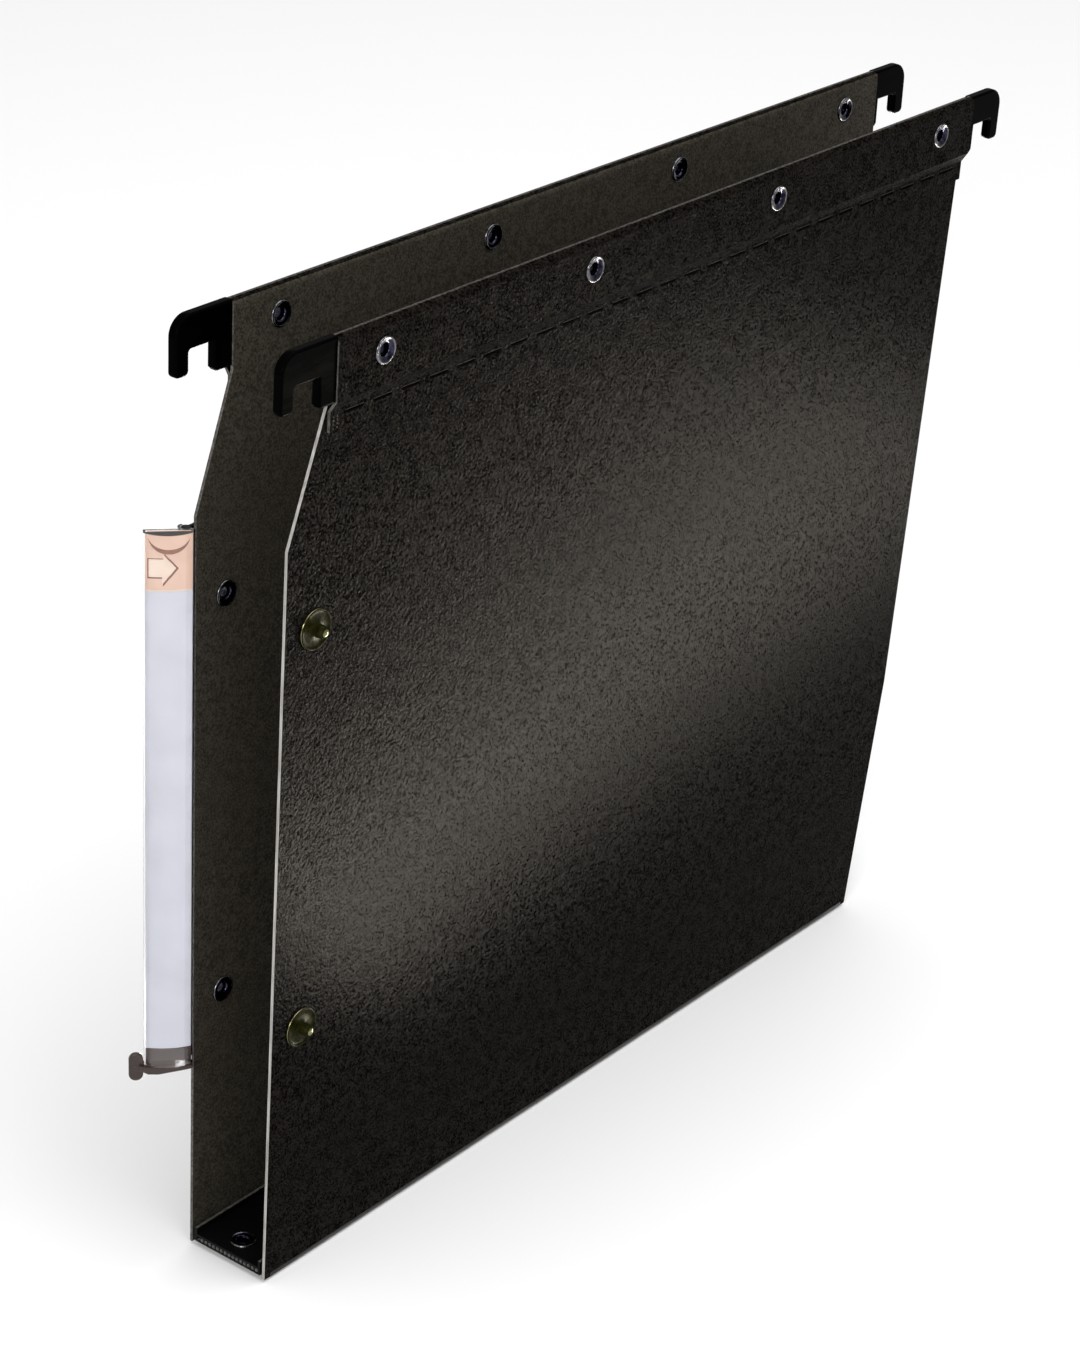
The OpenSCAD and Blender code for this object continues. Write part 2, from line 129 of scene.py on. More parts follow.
def soft_lamp(name, place, target, size, watts,
              along=(1.0, 0.0, 0.0), colour=(1.0, 1.0, 1.0), gloss_only=False):
    """A rectangular soft lamp that points at target, its first side laid along the given direction.
    A gloss_only lamp shows in the sheets' sheen and lights nothing else."""
    lamp = bpy.data.lights.new(name, "AREA")
    lamp.shape = "RECTANGLE"
    lamp.size, lamp.size_y = size
    lamp.energy = watts
    lamp.color = colour
    holder = bpy.data.objects.new(name, lamp)
    away = (Vector(place) - Vector(target)).normalized()
    side = (Vector(along) - Vector(along).project(away)).normalized()
    turn = Matrix((side, away.cross(side), away)).transposed()
    holder.matrix_world = Matrix.Translation(place) @ turn.to_4x4()
    scene.collection.objects.link(holder)
    holder.visible_camera = False
    if gloss_only:
        holder.visible_diffuse = False
        holder.visible_transmission = False


soft_lamp("overhead_lamp", (0.3, -0.5, 2.4), (0.1, 0.0, 0.0), (2.6, 2.6), 50.0)
soft_lamp("label_end_lamp", (-1.4, -0.62, 0.75), (-0.16, 0.0, 0.15), (0.5, 0.5), 12.0, (0.0, 1.0, 0.0))
warm_white = (1.0, 0.93, 0.80)
strip_size = (0.60, 0.034)
strip_x, strip_y, strip_z = 0.262, 0.190, 0.002
strip_watts = 4.6
for name, way in (("front_strip", -1.0), ("rear_strip", 1.0)):
    place = (strip_x, way * strip_y, strip_z)
    soft_lamp(name, place, (place[0], place[1], 1.0), strip_size, strip_watts, (0.972, way * 0.233, 0.0),
              warm_white, gloss_only=True)

look_azimuth, look_elevation, look_roll = (math.radians(a) for a in (-53.214, 26.31, 3.49))
eye = Vector((-0.807185, -0.581107, 0.624484))
frame_height = 1356
focal_length = 3525.8
camera = bpy.data.objects.new("camera", bpy.data.cameras.new("camera"))
camera.data.sensor_fit = "VERTICAL"
camera.data.sensor_height = 36.0
camera.data.lens = focal_length * camera.data.sensor_height / frame_height
camera.data.clip_start = 0.01
back = Vector((
    math.sin(look_azimuth) * math.cos(look_elevation),
    -math.cos(look_azimuth) * math.cos(look_elevation),
    math.sin(look_elevation),
))
level = Vector((math.cos(look_azimuth), math.sin(look_azimuth), 0.0))
upright = back.cross(level)
right = level * math.cos(look_roll) + upright * math.sin(look_roll)
up = upright * math.cos(look_roll) - level * math.sin(look_roll)
camera.matrix_world = Matrix.Translation(eye) @ Matrix((right, up, back)).transposed().to_4x4()
scene.collection.objects.link(camera)
scene.camera = camera

# ---------------------------------------------------------------------------------------------
# Front and rear sheets
# Each side is a 1 mm polypropylene sheet with a fine leather grain, die-cut to its outline. Its
# top is bent round over the bar into a hem, and the cut edges are left bare and paler. The rear
# sheet's edges, the hem ends and the flaps' lower edges are painted darker, a painted shade.
# ---------------------------------------------------------------------------------------------
joints = {joint["name"]: joint for joint in frame["joints"]}
crease = Vector(joints["base_fold"]["pos_m"])
turn_axis = joints["label_holder_turn"]["axis"]
lean = math.atan2(turn_axis[1], turn_axis[2])
sheet_t = 0.001
flap_depth = 0.028


def stood_on(side):
    """Places a piece drawn as x along the bar, y outwards from the sheet and z up the sheet."""
    outwards = -1.0 if side == "front" else 1.0
    return Matrix((
        (1.0, 0.0, 0.0, 0.0),
        (0.0, outwards * math.cos(lean), outwards * math.sin(lean), outwards * crease.y),
        (0.0, -math.sin(lean), math.cos(lean), crease.z),
        (0.0, 0.0, 0.0, 1.0),
    ))


def span(node, stand):
    """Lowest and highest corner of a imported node, in the frame that stand stands in the file."""
    flat = stand.inverted()
    corners = [flat @ v.co for v in frame["nodes"][node].data.vertices]
    return [Vector(pick(c[i] for c in corners) for i in range(3)) for pick in (min, max)]


def group_tree(name, inputs, outputs):
    """An empty shader group with named number inputs and outputs."""
    group = bpy.data.node_groups.new(name, "ShaderNodeTree")
    for label, value in inputs.items():
        socket = group.interface.new_socket(label, in_out="INPUT", socket_type="NodeSocketFloat")
        socket.default_value = value
    for label in outputs:
        group.interface.new_socket(label, in_out="OUTPUT", socket_type="NodeSocketFloat")
    return group, group.nodes.new("NodeGroupInput"), group.nodes.new("NodeGroupOutput")


def maths(tree, operation, a, b=None, clamp=False):
    """A Math node; a and b are sockets or numbers."""
    node = tree.nodes.new("ShaderNodeMath")
    node.operation = operation
    node.use_clamp = clamp
    for socket, value in zip(node.inputs, (a, b)):
        if value is None:
            continue
        if isinstance(value, (int, float)):
            socket.default_value = value
        else:
            tree.links.new(value, socket)
    return node.outputs[0]


def noise(tree, scale, detail=2.0, rough=0.5, stretch=(1.0, 1.0, 1.0)):
    """A Noise Texture that is fixed to the piece."""
    place = tree.nodes.new("ShaderNodeTexCoord").outputs["Object"]
    mapping = tree.nodes.new("ShaderNodeMapping")
    mapping.inputs["Scale"].default_value = stretch
    tree.links.new(place, mapping.inputs["Vector"])
    node = tree.nodes.new("ShaderNodeTexNoise")
    node.inputs["Detail"].default_value = detail
    node.inputs["Roughness"].default_value = rough
    tree.links.new(mapping.outputs["Vector"], node.inputs["Vector"])
    if isinstance(scale, (int, float)):
        node.inputs["Scale"].default_value = scale
    else:
        tree.links.new(scale, node.inputs["Scale"])
    return node.outputs["Fac"]


def weighed(tree, a, share_a, b, share_b):
    """The weighted sum of two values."""
    return maths(tree, "ADD", maths(tree, "MULTIPLY", a, share_a), maths(tree, "MULTIPLY", b, share_b))


def ranged(tree, value, low, high, to_low=0.0, to_high=1.0):
    """A clamped Map Range node."""
    node = tree.nodes.new("ShaderNodeMapRange")
    tree.links.new(value, node.inputs["Value"])
    for socket, number in zip(("From Min", "From Max", "To Min", "To Max"), (low, high, to_low, to_high)):
        node.inputs[socket].default_value = number
    return node.outputs["Result"]


# Leather grain: rounded pebbles over finer noise
leather_grain, given, result = group_tree(
    "leather_grain", {"Pebbles per metre": 900.0}, ("Height", "Tone"))
place = leather_grain.nodes.new("ShaderNodeTexCoord").outputs["Object"]
pebbles = leather_grain.nodes.new("ShaderNodeTexVoronoi")
pebbles.feature = "SMOOTH_F1"
leather_grain.links.new(place, pebbles.inputs["Vector"])
leather_grain.links.new(given.outputs[0], pebbles.inputs["Scale"])
fine = noise(leather_grain, maths(leather_grain, "MULTIPLY", given.outputs[0], 1.6), 3.0, 0.6)
broad = noise(leather_grain, maths(leather_grain, "MULTIPLY", given.outputs[0], 0.35), 2.0, 0.5)
dome = maths(leather_grain, "SUBTRACT", 1.0, pebbles.outputs["Distance"], clamp=True)
height = weighed(leather_grain, dome, 0.6, fine, 0.6)
leather_grain.links.new(height, result.inputs["Height"])
tone = weighed(leather_grain, fine, 0.78, broad, 0.22)
leather_grain.links.new(ranged(leather_grain, tone, 0.41, 0.60), result.inputs["Tone"])

# Handling marks: long faint scuffs and a little dust, the same on every plastic piece
handling_marks, given, result = group_tree("handling_marks", {"Marks per metre": 30.0}, ("Scuff", "Dust"))
streak = noise(handling_marks, given.outputs[0], 4.0, 0.65, (0.35, 1.0, 1.6))
patch = noise(handling_marks, maths(handling_marks, "MULTIPLY", given.outputs[0], 0.4), 2.0, 0.5)
handling_marks.links.new(ranged(handling_marks, streak, 0.45, 0.75), result.inputs["Scuff"])
handling_marks.links.new(ranged(handling_marks, patch, 0.35, 0.8), result.inputs["Dust"])


def use_group(tree, group, **values):
    """Places a shader group in a material with its own values."""
    node = tree.nodes.new("ShaderNodeGroup")
    node.node_tree = group
    for label, value in values.items():
        node.inputs[label.replace("_", " ")].default_value = value
    return node


def two_tone(tree, shader, factor, dark, pale):
    """Base colour between two colours that a mask chooses."""
    mix = tree.nodes.new("ShaderNodeMix")
    mix.data_type = "RGBA"
    mix.inputs["A"].default_value = (*dark, 1.0)
    mix.inputs["B"].default_value = (*pale, 1.0)
    tree.links.new(factor, mix.inputs["Factor"])
    tree.links.new(mix.outputs["Result"], shader.inputs["Base Color"])


def roughened(tree, shader, factor, smooth, rough, low=0.3, high=0.7):
    """Roughness between two values that a mask chooses."""
    tree.links.new(ranged(tree, factor, low, high, smooth, rough), shader.inputs["Roughness"])


def bumped(tree, shader, height, strength, depth):
    """Feeds a height to the shader as a bump."""
    bump = tree.nodes.new("ShaderNodeBump")
    bump.inputs["Strength"].default_value = strength
    bump.inputs["Distance"].default_value = depth
    tree.links.new(height, bump.inputs["Height"])
    tree.links.new(bump.outputs["Normal"], shader.inputs["Normal"])


def grained(name, dark, pale, gloss, smooth, rough):
    """Polypropylene sheet with a fine leather grain, between two tones and two roughnesses."""
    mat, tree, shader = new_material(name, dark, rough, Specular_IOR_Level=gloss)
    grain = use_group(tree, leather_grain, Pebbles_per_metre=900.0)
    marks = use_group(tree, handling_marks, Marks_per_metre=28.0)
    two_tone(tree, shader, grain.outputs["Tone"], dark, pale)
    glint = ranged(tree, grain.outputs["Tone"], 0.0, 1.0, gloss * 0.4, gloss * 1.6)
    tree.links.new(glint, shader.inputs["Specular IOR Level"])
    bumped(tree, shader, grain.outputs["Height"], 0.62, 0.00024)
    worn = maths(tree, "MULTIPLY", marks.outputs["Scuff"], -0.04)
    varied = ranged(tree, grain.outputs["Tone"], 0.0, 1.0, smooth, rough)
    tree.links.new(maths(tree, "ADD", varied, worn), shader.inputs["Roughness"])
    return mat


# The inside is painted paler than the outside, painted light for the light that falls on it between the sides, and
# its grain is duller
grained_sheet = grained(
    "grained_sheet", (0.0005, 0.0004, 0.0003), (0.0115, 0.0095, 0.0080), 0.006, 0.11, 0.22)
brushed_inside = grained(
    "brushed_inside", (0.0200, 0.0176, 0.0134), (0.0500, 0.0442, 0.0345), 0.012, 0.40, 0.50)

cut_edge, tree, shader = new_material("cut_edge", (0.30, 0.29, 0.27), 0.5, Specular_IOR_Level=0.3)
knife_marks = noise(tree, 1400.0, 3.0, 0.6, (1.0, 1.0, 0.08))
two_tone(tree, shader, ranged(tree, knife_marks, 0.3, 0.7), (0.20, 0.19, 0.175), (0.42, 0.41, 0.385))
bumped(tree, shader, knife_marks, 0.3, 0.0001)

# A mid-grey edge colour: painted shade on sheet edges that lie in shade, darker than the pale cut edges, and a
# painted highlight on the insert's lip top
dulled_edge, tree, shader = new_material("dulled_edge", (0.08, 0.075, 0.07), 0.5, Specular_IOR_Level=0.2)
scuffs = noise(tree, 1100.0, 3.0, 0.7)
two_tone(tree, shader, ranged(tree, scuffs, 0.35, 0.7), (0.030, 0.027, 0.024), (0.135, 0.128, 0.118))
bumped(tree, shader, scuffs, 0.3, 0.0001)

# The top of the bend over the bar is painted paler, a painted highlight along the hem, and it is rougher with a
# stronger gloss
stretched_bend = grained(
    "stretched_bend", (0.014, 0.012, 0.010), (0.060, 0.055, 0.047), 0.05, 0.30, 0.40)
join_distance = 1e-6


def cleaned_copy(node):
    """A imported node's skin as one closed mesh, its doubled points merged."""
    bm = bmesh.new()
    bm.from_mesh(frame["nodes"][node].data)
    bmesh.ops.remove_doubles(bm, verts=bm.verts, dist=join_distance)
    return bm


def smoothed(bm, angle, stand=Matrix.Identity(4)):
    """Shades the rounded faces smoothly, and keeps flat faces and the edges sharper than angle crisp."""
    turn = stand.inverted().to_3x3()
    for face in bm.faces:
        face.smooth = max(abs(part) for part in turn @ face.normal) < 0.9995
    for edge in bm.edges:
        edge.smooth = edge.calc_face_angle(math.pi) < math.radians(angle)


sheet_finishes = (grained_sheet, cut_edge, brushed_inside, dulled_edge, stretched_bend)
outer, bare_edge, inner, painted_shade_edge, bent = range(len(sheet_finishes))
slack = 0.0005
bend_above_flap = 0.02


def die_cut_sheet(side):
    """One side's sheet, with its cut edges, inner face and bend marked for their own finishes. Some edges carry
    painted shade, the inner face is painted paler and the top of the bend carries a painted highlight.
    """
    bm = cleaned_copy(side + "_panel")
    stand = stood_on(side)
    flat = stand.inverted()
    flap_end = span(side + "_panel", stand)[1].z - flap_depth
    # In the sheet's own frame x runs along the bar, y points out of the sheet and z up it
    for face in bm.faces:
        normal = flat.to_3x3() @ face.normal
        middle = flat @ face.calc_center_median()
        sideways = abs(normal.x) > 0.15 and abs(normal.y) < 0.2
        flap_edge = normal.z < -0.9 and abs(middle.z - flap_end) < slack
        hem_end = sideways and middle.z > flap_end - slack
        # The rear sheet's side edges, the hem ends and the flap's lower edge get the painted shade
        if flap_edge or hem_end or (sideways and side == "rear"):
            face.material_index = painted_shade_edge
        elif sideways:
            face.material_index = bare_edge
        # Faces on top of the bend get the painted highlight
        elif normal.z > 0.985 and middle.z > flap_end + bend_above_flap:
            face.material_index = bent
        elif normal.y < -0.5 and middle.y < 0.0:
            face.material_index = inner
        else:
            face.material_index = outer
    smoothed(bm, 30.0, stand)
    sheet = new_piece(side + "_sheet", bm, *sheet_finishes)
    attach(sheet, side + "_side")
    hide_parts(side + "_panel")


for side in ("front", "rear"):
    die_cut_sheet(side)

# ---------------------------------------------------------------------------------------------
# Eyelets
# Nickel-plated tube eyelets are pushed through the hem, the bar and the hook's tang, and their
# ends are rolled over. The rolled rim is bright nickel, and the dished bore is painted blue-black,
# a painted shade for the dark of its hollow.
# ---------------------------------------------------------------------------------------------
eyelet_r = 0.004
bore_r = 0.00175
turn_steps = 48


def islands(node):
    """The lowest and highest corners of each separate solid in a node, ordered along x, then z."""
    bm = cleaned_copy(node)
    left = set(bm.verts)
    found = []
    while left:
        reached = [left.pop()]
        group = list(reached)
        while reached:
            for edge in reached.pop().link_edges:
                for v in edge.verts:
                    if v in left:
                        left.remove(v)
                        reached.append(v)
                        group.append(v)
        low = Vector(min(v.co[i] for v in group) for i in range(3))
        high = Vector(max(v.co[i] for v in group) for i in range(3))
        found.append((low, high))
    bm.free()
    return sorted(found, key=lambda box: (round(box[0].x, 4), round(box[0].z, 4)))


def turned(profile):
    """Turns a closed half section of (radius, height) points in metres about Z. Its faces carry
    a mark, unset at first, that chooses the dark finish."""
    bm = bmesh.new()
    bm.faces.layers.bool.new("dark")
    rings = []
    for radius, rise in profile:
        if radius < 1e-7:
            rings.append([bm.verts.new((0.0, 0.0, rise))] * turn_steps)
        else:
            rings.append([
                bm.verts.new((radius * math.cos(a), radius * math.sin(a), rise))
                for a in (2.0 * math.pi * k / turn_steps for k in range(turn_steps))
            ])
    for i, ring in enumerate(rings):
        following = rings[(i + 1) % len(rings)]
        for k in range(turn_steps):
            after = (k + 1) % turn_steps
            corner = [ring[k], ring[after], following[after], following[k]]
            unique = [v for n, v in enumerate(corner) if v not in corner[:n]]
            if len(unique) > 2:
                bm.faces.new(unique)
    bmesh.ops.recalc_face_normals(bm, faces=bm.faces)
    for face in bm.faces:
        face.smooth = True
    for edge in bm.edges:
        edge.smooth = edge.calc_face_angle(math.pi) < math.radians(50.0)
    return bm


def rolled_rim(height, outwards):
    """Section of one rolled rim that sits at height, from the barrel's bore to its outside."""
    points = [
        (bore_r, -0.00050), (bore_r + 0.00012, -0.00016), (bore_r + 0.00035, 0.00008),
        (bore_r + 0.00070, 0.00024), (bore_r + 0.00115, 0.00034), (bore_r + 0.00150, 0.00045),
        (bore_r + 0.00168, 0.00056), (bore_r + 0.00184, 0.00060), (bore_r + 0.00200, 0.00057),
        (bore_r + 0.00213, 0.00045), (bore_r + 0.00222, 0.00026), (eyelet_r, 0.00008), (eyelet_r, 0.0),
        (0.00225, 0.0),
    ]
    return [(r, height + outwards * h) for r, h in points]


nickel, tree, shader = new_material("nickel", (0.66, 0.66, 0.68), 0.2, Metallic=1.0)
tarnish = noise(tree, 900.0, 3.0, 0.6)
two_tone(tree, shader, ranged(tree, tarnish, 0.35, 0.7), (0.06, 0.06, 0.065), (0.17, 0.17, 0.18))
roughened(tree, shader, tarnish, 0.14, 0.30)

# The dish and bore are painted blue-black, a painted shade for the dark of the eyelet's hollow
blued_bore, tree, shader = new_material("blued_bore", (0.02, 0.02, 0.035), 0.16, Metallic=1.0)
bore_mottle = noise(tree, 700.0, 2.0, 0.5)
two_tone(tree, shader, ranged(tree, bore_mottle, 0.35, 0.65), (0.005, 0.005, 0.010), (0.040, 0.037, 0.064))
roughened(tree, shader, bore_mottle, 0.07, 0.14)


def growing_tree(name, sockets):
    """An empty geometry tree with a mesh in, a mesh out and named inputs."""
    tree = bpy.data.node_groups.new(name, "GeometryNodeTree")
    tree.interface.new_socket("Mesh", in_out="OUTPUT", socket_type="NodeSocketGeometry")
    tree.interface.new_socket("Mesh", in_out="INPUT", socket_type="NodeSocketGeometry")
    for label, kind in sockets.items():
        tree.interface.new_socket(label, in_out="INPUT", socket_type=kind)
    return tree, tree.nodes.new("NodeGroupInput"), tree.nodes.new("NodeGroupOutput")


# One turned piece set at every point of the mesh, in two finishes
set_pieces, given, result = growing_tree("set_pieces", {
    "Turned piece": "NodeSocketObject",
    "Finish": "NodeSocketMaterial",
    "Dark finish": "NodeSocketMaterial",
})
pattern = set_pieces.nodes.new("GeometryNodeObjectInfo")
repeat = set_pieces.nodes.new("GeometryNodeInstanceOnPoints")
realise = set_pieces.nodes.new("GeometryNodeRealizeInstances")
finish = set_pieces.nodes.new("GeometryNodeSetMaterial")
dark_finish = set_pieces.nodes.new("GeometryNodeSetMaterial")
dark_faces = set_pieces.nodes.new("GeometryNodeInputNamedAttribute")
dark_faces.data_type = "BOOLEAN"
dark_faces.inputs["Name"].default_value = "dark"
set_pieces.links.new(given.outputs["Turned piece"], pattern.inputs["Object"])
set_pieces.links.new(given.outputs["Mesh"], repeat.inputs["Points"])
set_pieces.links.new(pattern.outputs["Geometry"], repeat.inputs["Instance"])
set_pieces.links.new(repeat.outputs["Instances"], realise.inputs["Geometry"])
set_pieces.links.new(realise.outputs["Geometry"], finish.inputs["Geometry"])
set_pieces.links.new(given.outputs["Finish"], finish.inputs["Material"])
set_pieces.links.new(finish.outputs["Geometry"], dark_finish.inputs["Geometry"])
set_pieces.links.new(dark_faces.outputs["Attribute"], dark_finish.inputs["Selection"])
set_pieces.links.new(given.outputs["Dark finish"], dark_finish.inputs["Material"])
set_pieces.links.new(dark_finish.outputs["Geometry"], result.inputs["Mesh"])


def grown(name, base, tree, **settings):
    """Grows the tree on a base mesh, and keeps the plain mesh that comes out."""
    start = new_piece(name + "_start", base)
    modifier = start.modifiers.new("grow", "NODES")
    modifier.node_group = tree
    for socket in tree.interface.items_tree:
        label = socket.name.replace(" ", "_")
        if socket.in_out == "INPUT" and label in settings:
            modifier[socket.identifier] = settings[label]
    bpy.context.view_layer.update()
    seen = start.evaluated_get(bpy.context.evaluated_depsgraph_get())
    mesh = bpy.data.meshes.new_from_object(seen)
    mesh.name = name
    bpy.data.objects.remove(start)
    piece = bpy.data.objects.new(name, mesh)
    scene.collection.objects.link(piece)
    return piece


def set_in_place(name, pattern_bm, turn, places, finish, dark):
    """Sets one turned piece, with its axis turned by turn, at each place."""
    pattern_bm.transform(turn)
    pattern_piece = new_piece(name + "_pattern", pattern_bm)
    points = bmesh.new()
    for p in places:
        points.verts.new(p)
    piece = grown(name, points, set_pieces, Turned_piece=pattern_piece, Finish=finish, Dark_finish=dark)
    bpy.data.objects.remove(pattern_piece)
    return piece


def facing_out(side):
    """Turns a piece's Z axis to point straight out of one side's sheet."""
    out = stood_on(side).to_3x3() @ Vector((0.0, 1.0, 0.0))
    return Vector((0.0, 0.0, 1.0)).rotation_difference(out).to_matrix().to_4x4()


def eyelet_section(clamped):
    """Closed half section of an eyelet with a rolled rim at both ends, about its own middle."""
    half = clamped / 2.0
    return rolled_rim(half, 1.0) + rolled_rim(-half, -1.0)[::-1]


hem_pack = 0.0042
rim_rise = 0.0006
dish_r = bore_r + 0.00155


def mark_dark(bm, chosen):
    """Marks the faces of a turned piece for the dark finish by their distance from its axis."""
    mark = bm.faces.layers.bool["dark"]
    for face in bm.faces:
        face[mark] = chosen(face.calc_center_median().xy.length)


def eyelet_pattern(clamped):
    """One eyelet about its own middle, with its dished bore marked for the dark finish, the painted shade."""
    eyelet = turned(eyelet_section(clamped))
    mark_dark(eyelet, lambda r: r < dish_r)
    return eyelet


def middles(node):
    """The middle of each separate solid in a node."""
    return [(low + high) / 2.0 for low, high in islands(node)]


for side in ("front", "rear"):
    node = side + "_hem_eyelets"
    eyelets = set_in_place(
        side + "_eyelets", eyelet_pattern(hem_pack), facing_out(side), middles(node), nickel, blued_bore)
    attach(eyelets, side + "_side")
    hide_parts(node)

low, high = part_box("base_eyelets")
floor_pack = high.z - low.z - 2.0 * rim_rise
floor_eyelets = set_in_place(
    "floor_eyelets", eyelet_pattern(floor_pack), Matrix.Identity(4), middles("base_eyelets"),
    nickel, blued_bore)
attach(floor_eyelets, "base")
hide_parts("base_eyelets")

# ---------------------------------------------------------------------------------------------
# Welds
# A heated bar seals each flap to its sheet in a row of short dashes. Each dash is a low ridge,
# painted paler as a painted highlight, over a low strip painted near-black as a painted shadow.
# Two short upright rows of dots, painted like the ridges, close the flap's label end.
# ---------------------------------------------------------------------------------------------
weld_depth = 0.022
dash_l, dash_w = 0.0074, 0.00055
dash_pitch = 0.0117
dash_count = 26
first_dash = 0.0095
dot_pitch = 0.0011
dot_rows = (0.0012, 0.0028)
dots_a_row = 4
dash_drop, dot_drop = 0.0007, 0.0016
sunk = -0.00005
ridge_rise, shadow_rise, dot_rise = 0.00014, 0.00004, 0.00008
dot_l, dot_half_w = 0.0005, 0.0003
hem_past_bar = 0.0102

# The ridges and dots are painted paler than the sheet, a painted highlight
weld_ridge, tree, shader = new_material("weld_ridge", (0.02, 0.018, 0.016), 0.3, Specular_IOR_Level=0.06)
ridge_mottle = noise(tree, 1500.0, 2.0, 0.6)
two_tone(tree, shader, ranged(tree, ridge_mottle, 0.3, 0.7), (0.012, 0.011, 0.009), (0.034, 0.031, 0.026))
roughened(tree, shader, ridge_mottle, 0.24, 0.42)

# The strip under each ridge is painted near-black, a painted shadow
weld_shadow, tree, shader = new_material(
    "weld_shadow", (0.002, 0.0018, 0.0016), 0.7, Specular_IOR_Level=0.0)
shadow_mottle = ranged(tree, noise(tree, 1500.0), 0.3, 0.7)
two_tone(tree, shader, shadow_mottle, (0.0010, 0.0009, 0.0008), (0.0035, 0.0030, 0.0026))


def raised_strip(length, parts):
    """A strip along X. Each part is (low edge, high edge, rise, dark), drawn across it in z and y."""
    bm = bmesh.new()
    mark = bm.faces.layers.bool.new("dark")
    for low, high, rise, dark in parts:
        ease = min(rise, (high - low) / 3.0)
        outline = [(low, sunk), (low, rise - ease), (low + ease, rise),
                   (high - ease, rise), (high, rise - ease), (high, sunk)]
        ends = [[bm.verts.new((x, y, z)) for z, y in outline] for x in (-length / 2.0, length / 2.0)]
        faces = [bm.faces.new(ends[0]), bm.faces.new(ends[1][::-1])]
        for i in range(len(outline)):
            j = (i + 1) % len(outline)
            faces.append(bm.faces.new((ends[0][i], ends[1][i], ends[1][j], ends[0][j])))
        for face in faces:
            face[mark] = dark
    bmesh.ops.recalc_face_normals(bm, faces=bm.faces)
    return bm


for side in ("front", "rear"):
    stand = stood_on(side)
    low, high = span(side + "_panel", stand)
    hem_low = span(side + "_bar", stand)[0].x - hem_past_bar
    weld_z = high.z - weld_depth
    # The flap lies on the sheet's outside, so its face is a sheet and a half from the sheet's middle
    flap_face = sheet_t * 1.5
    turn = stand.to_3x3().to_4x4()
    dash = raised_strip(dash_l, (
        (-0.4 * dash_w, 0.0, ridge_rise, False), (-2.2 * dash_w, -0.4 * dash_w, shadow_rise, True)))
    places = [stand @ Vector((hem_low + first_dash + k * dash_pitch, flap_face, weld_z - dash_drop))
              for k in range(dash_count)]
    dashes = set_in_place(side + "_weld_dashes", dash, turn, places, weld_ridge, weld_shadow)
    dot = raised_strip(dot_l, ((-dot_half_w, dot_half_w, dot_rise, False),))
    places = [stand @ Vector((hem_low + x, flap_face, weld_z - dot_drop - k * dot_pitch))
              for x in dot_rows for k in range(dots_a_row)]
    dots = set_in_place(side + "_weld_dots", dot, turn, places, weld_ridge, weld_shadow)
    for piece in (dashes, dots):
        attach(piece, side + "_side")

# ---------------------------------------------------------------------------------------------
# Bars
# A flat steel bar, galvanised and rolled, fills each hem and carries the weight of the papers.
# It is halved at both ends to lap the hooks, and the eyelets pin the three together.
# ---------------------------------------------------------------------------------------------
rolled_steel, tree, shader = new_material("rolled_steel", (0.45, 0.46, 0.47), 0.35, Metallic=1.0)
roll_lines = noise(tree, 260.0, 4.0, 0.6, (0.03, 1.0, 1.0))
spangle = noise(tree, 180.0, 2.0, 0.5)
two_tone(tree, shader, ranged(tree, roll_lines, 0.3, 0.7), (0.34, 0.35, 0.36), (0.56, 0.57, 0.58))
roughened(tree, shader, spangle, 0.25, 0.45)
bumped(tree, shader, roll_lines, 0.2, 0.0001)


def dressed(node, material):
    """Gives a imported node, which stays as it is, its material."""
    slots = frame["nodes"][node].material_slots
    for slot in slots:
        slot.material = material
    if not slots:
        frame["nodes"][node].data.materials.append(material)


for side in ("front", "rear"):
    dressed(side + "_bar", rolled_steel)

# ---------------------------------------------------------------------------------------------
# Hooks
# Each bar ends in two black nylon hooks that drop over the cabinet's rails. They are moulded, so
# their edges are rounded, and a flat tang of each runs into the hem and is pinned by an eyelet.
# ---------------------------------------------------------------------------------------------
hook_ease = 0.0007
tang_l = 0.027

black_nylon, tree, shader = new_material(
    "black_nylon", (0.001, 0.001, 0.001), 0.3, Specular_IOR_Level=0.006)
marks = use_group(tree, handling_marks, Marks_per_metre=160.0)
mould_grain = noise(tree, 1100.0, 3.0, 0.55)
two_tone(tree, shader, marks.outputs["Dust"], (0.0002, 0.0002, 0.0002), (0.0009, 0.0009, 0.0009))
roughened(tree, shader, marks.outputs["Scuff"], 0.24, 0.40, 0.0, 1.0)
bumped(tree, shader, mould_grain, 0.15, 0.00012)


def eased_copy(node, stand, width, chosen, steps=3, angle=50.0):
    """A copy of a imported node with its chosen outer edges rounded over."""
    bm = cleaned_copy(node)
    bmesh.ops.dissolve_limit(bm, angle_limit=math.radians(1.0), verts=bm.verts, edges=bm.edges)
    flat = stand.inverted()
    edges = [e for e in bm.edges
             if e.is_manifold and e.is_convex and e.calc_face_angle() > math.radians(angle)
             and chosen(flat @ ((e.verts[0].co + e.verts[1].co) / 2.0))]
    bmesh.ops.bevel(
        bm, geom=edges, offset=width, segments=steps, profile=0.5, affect="EDGES", clamp_overlap=True)
    smoothed(bm, 35.0, stand)
    return bm


for side in ("front", "rear"):
    stand = stood_on(side)
    for end, way in (("left", -1.0), ("right", 1.0)):
        node = f"{side}_{end}_hook"
        low, high = span(node, stand)
        hem_end = (high.x - tang_l) if way < 0 else (low.x + tang_l)
        bm = eased_copy(node, stand, hook_ease, lambda p: (p.x - hem_end) * way > 0.0001)
        hook = new_piece(f"{side}_{end}_nylon_hook", bm, black_nylon)
        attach(hook, side + "_side")
        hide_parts(node)

